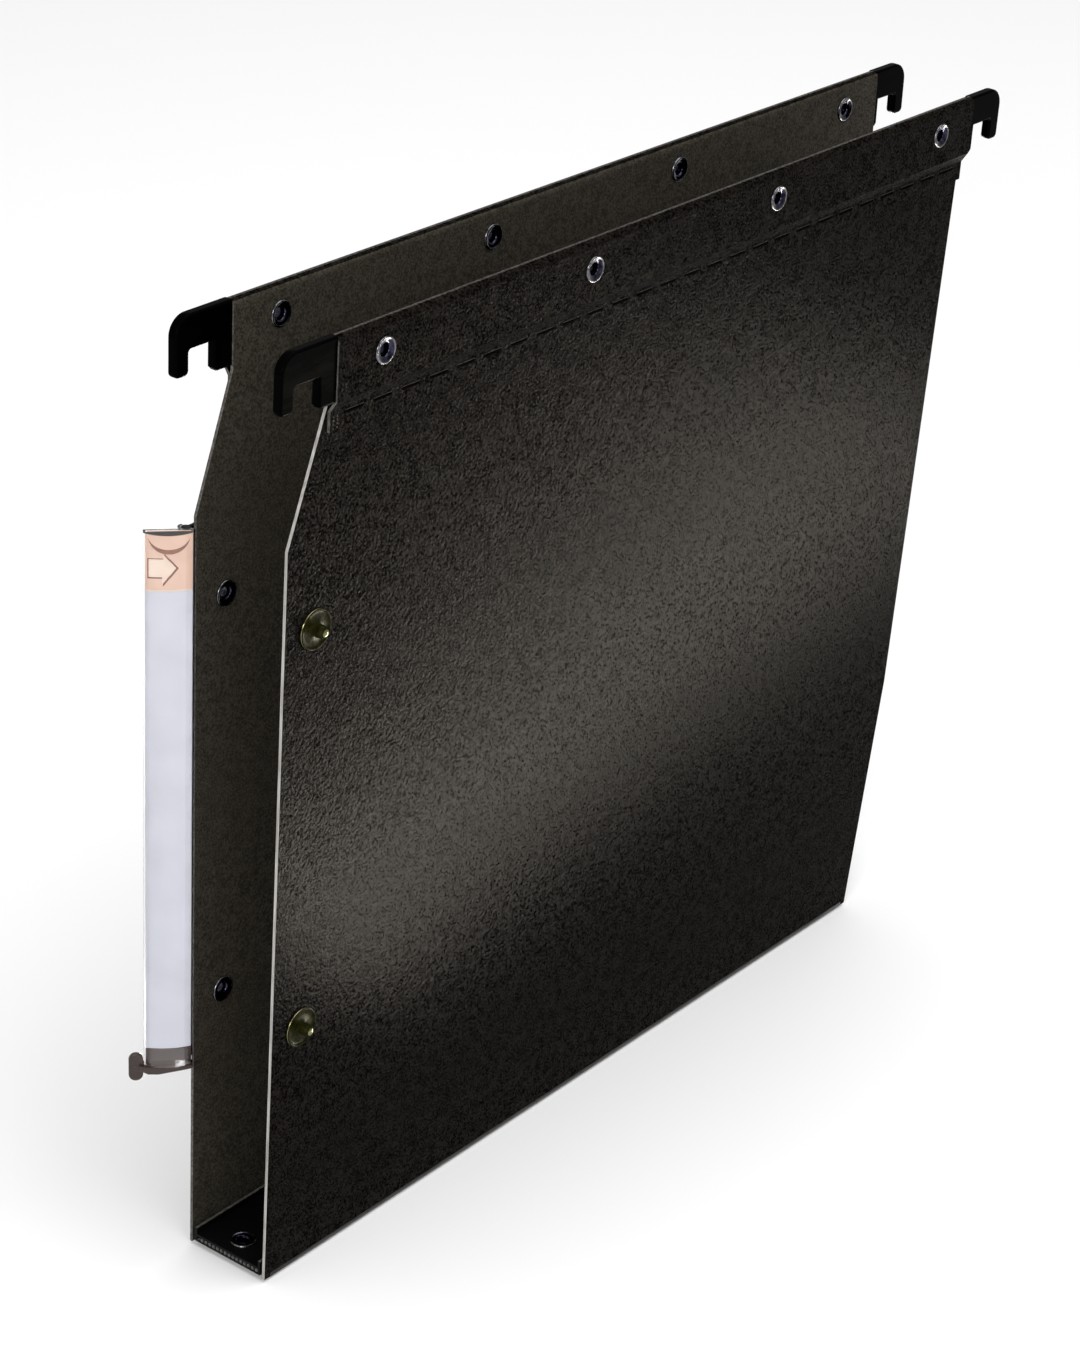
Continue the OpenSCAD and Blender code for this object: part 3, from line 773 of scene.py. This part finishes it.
# ---------------------------------------------------------------------------------------------
# Press studs
# Two brass studs on the front join the file to the one before it. A pressed dish with a rolled
# edge carries a ball-ended post, and a rivet through the sheet holds both. The plating has aged.
# ---------------------------------------------------------------------------------------------
mounts = {m["name"]: Vector(m["pos_m"]) for m in frame["record"]["mounts"]}


def mm(*points):
    """Points given in millimetres, in metres."""
    return [tuple(part * 0.001 for part in point) for point in points]


def arc(radius, rise, start, end, steps):
    """Points of a rounded end about (0, rise), between two angles in degrees, in millimetres."""
    turns = [math.radians(start + (end - start) * k / steps) for k in range(steps + 1)]
    reach = [math.cos(t) if abs(math.cos(t)) > 1e-9 else 0.0 for t in turns]
    return [(radius * part, rise + radius * math.sin(t)) for part, t in zip(reach, turns)]


aged_brass, tree, shader = new_material(
    "aged_brass", (0.012, 0.012, 0.003), 0.3, Metallic=0.12, Specular_IOR_Level=0.01)
patina = noise(tree, 650.0, 4.0, 0.6)
two_tone(tree, shader, ranged(tree, patina, 0.35, 0.7), (0.006, 0.006, 0.0015), (0.019, 0.0185, 0.005))
roughened(tree, shader, patina, 0.18, 0.34)

worn_brass, tree, shader = new_material("worn_brass", (0.62, 0.55, 0.26), 0.16, Metallic=1.0)
polish = noise(tree, 900.0, 3.0, 0.6)
two_tone(tree, shader, ranged(tree, polish, 0.3, 0.7), (0.11, 0.105, 0.048), (0.27, 0.26, 0.14))
roughened(tree, shader, polish, 0.12, 0.26)

rivet_grip_r = 1.35
stud_profile = mm(
    (rivet_grip_r, 0.0), (5.95, 0.0), (6.12, 0.08), (6.2, 0.25), (6.2, 0.42), (6.12, 0.6),
    (5.97, 0.73), (5.78, 0.8), (5.58, 0.76), (5.42, 0.62), (5.2, 0.47), (4.9, 0.4),
    (4.0, 0.42), (3.2, 0.48), (2.7, 0.56), (2.2, 0.7), (1.85, 0.84), (1.65, 0.95),
    (1.62, 1.15), (1.72, 1.27), (1.86, 1.33), (1.95, 1.45),
    *arc(1.95, 2.5, 0.0, 90.0, 10), (0.0, 2.0), (rivet_grip_r, 2.0))
dish_edge_r, ball_top_r = 0.00612, 0.0012
stud_band = 0.0019

stud = turned(stud_profile)
mark_dark(stud, lambda r: ball_top_r < r < dish_edge_r)
out = facing_out("front").to_3x3() @ Vector((0.0, 0.0, 1.0))
seats = [mounts[name] - out * stud_band for name in ("lower_press_stud", "upper_press_stud")]
studs = set_in_place("brass_studs", stud, facing_out("front"), seats, worn_brass, aged_brass)
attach(studs, "front_side")
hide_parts("press_studs")

rivet_profile = mm(
    (0.0, -0.3), (1.2, -0.3), (1.5, -0.34), (2.0, -0.54), (2.3, -0.6), (3.3, -0.6), (3.6, -0.54),
    (3.85, -0.32), (4.0, -0.14), (4.0, 0.0), (1.3, 0.0), (1.3, 2.65), (1.15, 2.8), (0.0, 2.8))
inner_seats = [seat - out * sheet_t for seat in seats]
rivets = set_in_place(
    "stud_pins", turned(rivet_profile), facing_out("front"), inner_seats, nickel, blued_bore)
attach(rivets, "front_side")
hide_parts("stud_rivets")

# ---------------------------------------------------------------------------------------------
# Press sockets
# The rear sheet has two brass caps that take the next file's studs. Each is clenched through the
# label carrier and the sheet by an eyelet, and a bent brass wire in it grips the stud's neck.
# ---------------------------------------------------------------------------------------------
socket_rise = 0.003
cap_top_r, cap_foot_r = 0.0046, 0.0058
carrier_t = 0.001
socket_profile = mm(
    (2.25, 0.0), (6.2, 0.0), (6.2, 0.38), (6.08, 0.56), (5.84, 0.72), (5.7, 0.92), (5.62, 1.2),
    (5.26, 2.36), (5.12, 2.7), (4.88, 2.92), (4.6, 3.0), (2.75, 3.0), (2.5, 2.96), (2.34, 2.85),
    (2.3, 2.7), (2.3, 2.4), (4.4, 2.4), (4.4, 0.5), (2.25, 0.5))
out = facing_out("rear").to_3x3() @ Vector((0.0, 0.0, 1.0))
cap_seats = [mounts[name] - out * socket_rise for name in ("lower_press_socket", "upper_press_socket")]
socket = turned(socket_profile)
mark_dark(socket, lambda r: r < cap_top_r or r > cap_foot_r)
caps = set_in_place("brass_caps", socket, facing_out("rear"), cap_seats, worn_brass, aged_brass)
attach(caps, "rear_side")
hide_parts("press_sockets")

clench_profile = mm(
    (1.75, 0.5), (1.87, 0.16), (2.1, -0.08), (2.45, -0.24), (2.9, -0.34), (3.25, -0.45),
    (3.43, -0.56), (3.59, -0.6), (3.75, -0.57), (3.88, -0.45), (3.97, -0.26), (4.0, -0.08),
    (4.0, 0.0), (2.2, 0.0), (2.2, 2.5), (3.0, 2.5), (3.1, 2.6), (3.1, 2.8), (3.0, 2.9),
    (1.9, 2.9), (1.75, 2.75))
clench = turned(clench_profile)
mark_dark(clench, lambda r: r < dish_r)
inner_seats = [seat - out * (carrier_t + sheet_t) for seat in cap_seats]
clenched = set_in_place("cap_eyelets", clench, facing_out("rear"), inner_seats, nickel, blued_bore)
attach(clenched, "rear_side")
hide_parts("socket_eyelets")

spring_brass, tree, shader = new_material("spring_brass", (0.7, 0.58, 0.3), 0.2, Metallic=1.0)
drawn = noise(tree, 1200.0, 3.0, 0.6)
two_tone(tree, shader, ranged(tree, drawn, 0.3, 0.7), (0.50, 0.41, 0.19), (0.78, 0.67, 0.38))
roughened(tree, shader, drawn, 0.16, 0.32)
bm = eased_copy("socket_springs", stood_on("rear"), 0.0002, lambda p: True)
springs = new_piece("spring_wires", bm, spring_brass)
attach(springs, "rear_side")
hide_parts("socket_springs")

# ---------------------------------------------------------------------------------------------
# Base
# The middle of the folded sheet is stiffened by a black fluted polypropylene insert with a low
# lip along each side. Its sawn ends show the row of flutes, and two eyelets hold it down.
# ---------------------------------------------------------------------------------------------
flute_lines = 640.0
lip_band = 0.0011

fluted_black, tree, shader = new_material(
    "fluted_black", (0.002, 0.002, 0.002), 0.5, Specular_IOR_Level=0.08)
marks = use_group(tree, handling_marks, Marks_per_metre=70.0)
rib_lines = noise(tree, flute_lines, 2.0, 0.5, (0.02, 1.0, 1.0))
two_tone(tree, shader, marks.outputs["Dust"], (0.0006, 0.0006, 0.0006), (0.0026, 0.0025, 0.0024))
roughened(tree, shader, marks.outputs["Scuff"], 0.45, 0.62, 0.0, 1.0)
bumped(tree, shader, rib_lines, 0.25, 0.00012)

# The flutes' inner walls are painted pale grey, a painted highlight that shows as a row of light dots at the sawn
# ends
sawn_end, tree, shader = new_material("sawn_end", (0.12, 0.115, 0.11), 0.5, Specular_IOR_Level=0.3)
flute_mottle = noise(tree, 1300.0, 3.0, 0.7)
two_tone(tree, shader, ranged(tree, flute_mottle, 0.3, 0.7), (0.05, 0.048, 0.045), (0.30, 0.29, 0.27))
bumped(tree, shader, flute_mottle, 0.3, 0.0001)

bm = cleaned_copy("base_insert")
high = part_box("base_insert")[1]
lip_face = high.y - lip_band
# The lip's top takes the mid-grey edge colour, a painted highlight on the black insert
flute_wall, lip_top = 1, 2
for face in bm.faces:
    middle = face.calc_center_median()
    rounded = max(abs(part) for part in face.normal) < 0.999
    if rounded and abs(middle.y) < lip_face and abs(face.normal.x) < 0.01:
        face.material_index = flute_wall
    elif face.normal.z > 0.9 and middle.z > high.z - 0.0001:
        face.material_index = lip_top
smoothed(bm, 40.0)
insert = new_piece("fluted_insert", bm, fluted_black, sawn_end, dulled_edge)
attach(insert, "base")
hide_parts("base_insert")

# The two cut ends are painted as black as the insert over them, a painted shade for the shadow under it. The
# eyelet holes, near the middle, are left
bm = cleaned_copy("base_sheet")
painted_shade_end, hole_half = 1, 0.003
for face in bm.faces:
    if abs(face.normal.x) > 0.9 and abs(face.calc_center_median().y) > hole_half:
        face.material_index = painted_shade_end
smoothed(bm, 40.0)
floor_sheet = new_piece("floor_sheet", bm, grained_sheet, fluted_black)
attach(floor_sheet, "base")
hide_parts("base_sheet")

# ---------------------------------------------------------------------------------------------
# Creases
# The sheet is scored and folded between base and sides, and on the real file the crease is pressed
# so thin that it hinges. The pressed skin is smoother than the sheet and painted paler, a painted
# highlight for the fine line of light it catches.
# ---------------------------------------------------------------------------------------------
skin_t = 0.00008
fold_r = 0.0005
score_width = 0.0011
columns = 24
skin_foot = 0.0004

pressed_skin, tree, shader = new_material(
    "pressed_skin", (0.012, 0.011, 0.010), 0.3, Specular_IOR_Level=0.35)
crease_mottle = noise(tree, 900.0, 3.0, 0.6, (0.2, 1.0, 1.0))
two_tone(tree, shader, ranged(tree, crease_mottle, 0.35, 0.7), (0.008, 0.007, 0.006), (0.032, 0.029, 0.025))
roughened(tree, shader, crease_mottle, 0.24, 0.40)
bumped(tree, shader, crease_mottle, 0.2, 0.00008)

crease_line = {"front": joints["front_panel_fold"]["pos_m"], "rear": joints["base_fold"]["pos_m"]}
floor_low, floor_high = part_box("base_sheet")
for side, way in (("front", -1.0), ("rear", 1.0)):
    middle = Vector(crease_line[side])
    route = [(way * score_width * -1.0, -fold_r), (way * score_width * -0.6, -fold_r)]
    for t in (math.radians(15.0 * k) for k in range(7)):
        route.append((way * fold_r * math.sin(t), -fold_r * math.cos(t)))
    for rise in (skin_foot, score_width):
        route.append((way * (fold_r + rise * math.sin(lean)), rise))
    bm = bmesh.new()
    rows = []
    for k in range(columns + 1):
        x = floor_low.x + (floor_high.x - floor_low.x) * k / columns
        rows.append([bm.verts.new((x, middle.y + y, middle.z + z)) for y, z in route])
    for a, b in zip(rows, rows[1:]):
        for i in range(len(route) - 1):
            bm.faces.new((a[i], b[i], b[i + 1], a[i + 1]))
    bmesh.ops.recalc_face_normals(bm, faces=bm.faces)
    across = Vector((0.0, 1.0, 1.0))
    outward = sum(f.normal.dot((f.calc_center_median() - middle) * across) for f in bm.faces)
    if outward < 0.0:
        bmesh.ops.reverse_faces(bm, faces=bm.faces)
    bmesh.ops.solidify(bm, geom=list(bm.faces), thickness=-skin_t)
    bmesh.ops.recalc_face_normals(bm, faces=bm.faces)
    for face in bm.faces:
        face.smooth = True
    skin = new_piece(side + "_crease", bm, pressed_skin)
    if side == "rear":
        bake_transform(skin)
    else:
        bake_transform(skin)

# ---------------------------------------------------------------------------------------------
# Label carrier
# A black extruded PVC strip lies on the rear sheet's outside, held by the two sockets. Its web
# reaches past the sheet's edge and ends in a round bead, on which the label holder turns.
# ---------------------------------------------------------------------------------------------
black_pvc, tree, shader = new_material("black_pvc", (0.004, 0.004, 0.005), 0.25, Specular_IOR_Level=0.06)
marks = use_group(tree, handling_marks, Marks_per_metre=110.0)
die_lines = noise(tree, 900.0, 3.0, 0.5, (1.0, 1.0, 0.02))
two_tone(tree, shader, marks.outputs["Dust"], (0.003, 0.003, 0.0035), (0.009, 0.009, 0.010))
roughened(tree, shader, die_lines, 0.18, 0.34)
bumped(tree, shader, die_lines, 0.15, 0.00008)
bm = eased_copy("label_carrier", stood_on("rear"), 0.00015, lambda p: True, 2, 60.0)
carrier = new_piece("bead_strip", bm, black_pvc)
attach(carrier, "rear_side")
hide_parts("label_carrier")

# ---------------------------------------------------------------------------------------------
# Label holder
# A clear extruded lens clips over the bead, and its crowned face makes the label look wider than
# it is. A smoked end stop is pushed into its foot, with a thumb paddle to turn the holder by.
# ---------------------------------------------------------------------------------------------
holder_angle = math.radians(42.0)
bead_to_foot = 0.1495
bead = Vector(joints["label_holder_turn"]["pos_m"])
bead_up = Vector(turn_axis)
along = stood_on("rear").to_3x3() @ Vector((-math.cos(holder_angle), math.sin(holder_angle), 0.0))
facing = stood_on("rear").to_3x3() @ Vector((-math.sin(holder_angle), -math.cos(holder_angle), 0.0))
foot = bead - bead_up * bead_to_foot
holder_stand = Matrix.Translation(foot) @ Matrix((along, facing, bead_up)).transposed().to_4x4()

clear_lens, tree, shader = new_material(
    "clear_lens", (0.97, 0.98, 1.0), 0.04, Transmission_Weight=1.0, IOR=1.45)
draw_lines = noise(tree, 700.0, 2.0, 0.5, (1.0, 1.0, 0.02))
roughened(tree, shader, draw_lines, 0.02, 0.09)
bumped(tree, shader, draw_lines, 0.08, 0.00005)
see_through = tree.nodes.new("ShaderNodeBsdfTransparent")
rays = tree.nodes.new("ShaderNodeLightPath")
pass_light = tree.nodes.new("ShaderNodeMixShader")
output = tree.nodes["Material Output"]
tree.links.new(rays.outputs["Is Shadow Ray"], pass_light.inputs["Fac"])
tree.links.new(shader.outputs["BSDF"], pass_light.inputs[1])
tree.links.new(see_through.outputs["BSDF"], pass_light.inputs[2])
tree.links.new(pass_light.outputs["Shader"], output.inputs["Surface"])

bm = cleaned_copy("label_lens")
smoothed(bm, 35.0, holder_stand)
lens = new_piece("clear_holder", bm, clear_lens)
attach(lens, "label_holder")
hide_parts("label_lens")

smoked_brown, tree, shader = new_material(
    "smoked_brown", (0.03, 0.02, 0.018), 0.22, Specular_IOR_Level=0.35)
marks = use_group(tree, handling_marks, Marks_per_metre=240.0)
two_tone(tree, shader, marks.outputs["Dust"], (0.022, 0.013, 0.011), (0.050, 0.034, 0.029))
roughened(tree, shader, marks.outputs["Scuff"], 0.16, 0.32, 0.0, 1.0)
bm = eased_copy("label_end_stop", holder_stand, 0.0003, lambda p: True, 3, 40.0)
end_stop = new_piece("smoked_end_stop", bm, smoked_brown)
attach(end_stop, "label_holder")
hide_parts("label_end_stop")

# ---------------------------------------------------------------------------------------------
# Label
# A blank card strip slides in the lens. Its top is gripped by a peach-coloured plastic pull tab,
# moulded with a thumb crescent and an arrow that shows which way the holder turns. Brown painted
# shadows lie under the crescent and round the arrow, and the arrow and a line at the tab's foot
# are painted paler as painted highlights.
# ---------------------------------------------------------------------------------------------
white_card, tree, shader = new_material("white_card", (0.74, 0.74, 0.84), 0.6, Specular_IOR_Level=0.2)
fibres = noise(tree, 1600.0, 4.0, 0.7, (1.0, 1.0, 0.25))
cloudy = noise(tree, 120.0, 2.0, 0.5)
two_tone(tree, shader, ranged(tree, cloudy, 0.3, 0.7), (0.358, 0.356, 0.385), (0.394, 0.392, 0.422))
bumped(tree, shader, fibres, 0.15, 0.00006)
dressed("label_strip", white_card)

peach_plastic, tree, shader = new_material(
    "peach_plastic", (0.72, 0.50, 0.38), 0.4, Specular_IOR_Level=0.3)
marks = use_group(tree, handling_marks, Marks_per_metre=300.0)
two_tone(tree, shader, marks.outputs["Dust"], (0.43, 0.28, 0.21), (0.50, 0.34, 0.26))
roughened(tree, shader, marks.outputs["Scuff"], 0.35, 0.5, 0.0, 1.0)

# The raised arrow and the line at the tab's foot are painted paler, a painted highlight
pale_relief, tree, shader = new_material("pale_relief", (0.85, 0.70, 0.58), 0.4, Specular_IOR_Level=0.3)
marks = use_group(tree, handling_marks, Marks_per_metre=300.0)
two_tone(tree, shader, marks.outputs["Dust"], (0.46, 0.35, 0.28), (0.55, 0.44, 0.36))

# Brown painted shadow, under the thumb crescent and round the arrow
brown_line, tree, shader = new_material("brown_line", (0.30, 0.12, 0.05), 0.5, Specular_IOR_Level=0.2)
marks = use_group(tree, handling_marks, Marks_per_metre=400.0)
two_tone(tree, shader, marks.outputs["Dust"], (0.10, 0.03, 0.015), (0.20, 0.08, 0.04))

bm = eased_copy("label_pull_tab", holder_stand, 0.00008, lambda p: True, 2, 60.0)
tab = new_piece("pull_tab", bm, peach_plastic)
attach(tab, "label")
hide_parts("label_pull_tab")

tab_low, tab_high = span("label_pull_tab", holder_stand)
tab_w, tab_h = tab_high.x - tab_low.x, tab_high.z - tab_low.z


def stamped(name, outline, high, material):
    """A flat shape on the tab's face. The outline runs over the tab's width and height from 0 to 1."""
    bm = bmesh.new()
    rings = []
    for rise in (sunk, high):
        flat = [(tab_low.x + u * tab_w, tab_high.y + rise, tab_low.z + v * tab_h) for u, v in outline]
        rings.append([bm.verts.new(holder_stand @ Vector(point)) for point in flat])
    bm.faces.new(rings[0])
    bm.faces.new(rings[1][::-1])
    for i in range(len(outline)):
        j = (i + 1) % len(outline)
        bm.faces.new((rings[0][i], rings[0][j], rings[1][j], rings[1][i]))
    bmesh.ops.recalc_face_normals(bm, faces=bm.faces)
    piece = new_piece(name, bm, material)
    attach(piece, "label")


def crescent(depth, width, top):
    """Half moon outline that hangs from the tab's top edge."""
    turns = [math.pi * k / 20.0 for k in range(21)]
    return [(0.5 - width * math.cos(t), top - depth * math.sin(t)) for t in turns]


# The arrow points back to the file, which is towards the bead
arrow = [(0.93, 0.25), (0.93, 0.55), (0.62, 0.55), (0.62, 0.63), (0.36, 0.40), (0.64, 0.13), (0.64, 0.25)]
arrow_u, arrow_v = 0.63, 0.39
spread = 1.14
shadow = [(arrow_u + (u - arrow_u) * spread - 0.015, arrow_v + (v - arrow_v) * spread - 0.008)
          for u, v in arrow]
foot_line = [(0.02, 0.005), (0.98, 0.005), (0.98, 0.03), (0.02, 0.03)]
painted_shadow_rise, foot_rise, relief_rise = 0.00006, 0.0001, 0.00014
stamped("thumb_shadow", crescent(0.34, 0.45, 0.97), painted_shadow_rise, brown_line)
stamped("thumb_crescent", crescent(0.27, 0.46, 0.98), relief_rise, peach_plastic)
stamped("arrow_shadow", shadow, painted_shadow_rise, brown_line)
stamped("turn_arrow", arrow, relief_rise, pale_relief)
stamped("tab_foot_line", foot_line, foot_rise, pale_relief)
